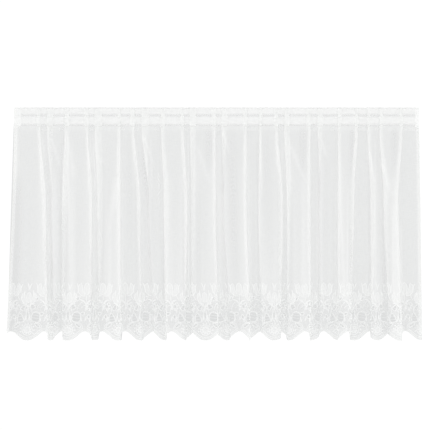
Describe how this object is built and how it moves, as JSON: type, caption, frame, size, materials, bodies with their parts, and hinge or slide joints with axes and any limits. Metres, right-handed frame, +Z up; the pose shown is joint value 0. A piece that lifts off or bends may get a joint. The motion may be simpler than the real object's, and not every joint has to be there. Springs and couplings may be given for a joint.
{
  "type": "lace curtain",
  "caption": "Short sheer curtain with a stand-up header over an open rod pocket, pressed tucks, soft folds and a cut-out floral lace border with a scalloped hem.",
  "frame": {"origin": "middle of the top edge of the heading", "axes": "+X across the curtain to the right as seen from the room, +Z up, the room side faces -Y"},
  "size_m": [1.0714, 0.0291, 0.6],
  "materials": {
    "heading_cloth": "two and more layers of white sheer voile, pressed and stitched",
    "sheer_cloth": "white sheer voile with white embroidery, soft and matt"
  },
  "bodies": {
    "root": {"heading": "heading_cloth", "panel": "sheer_cloth"}
  },
  "joints": []
}
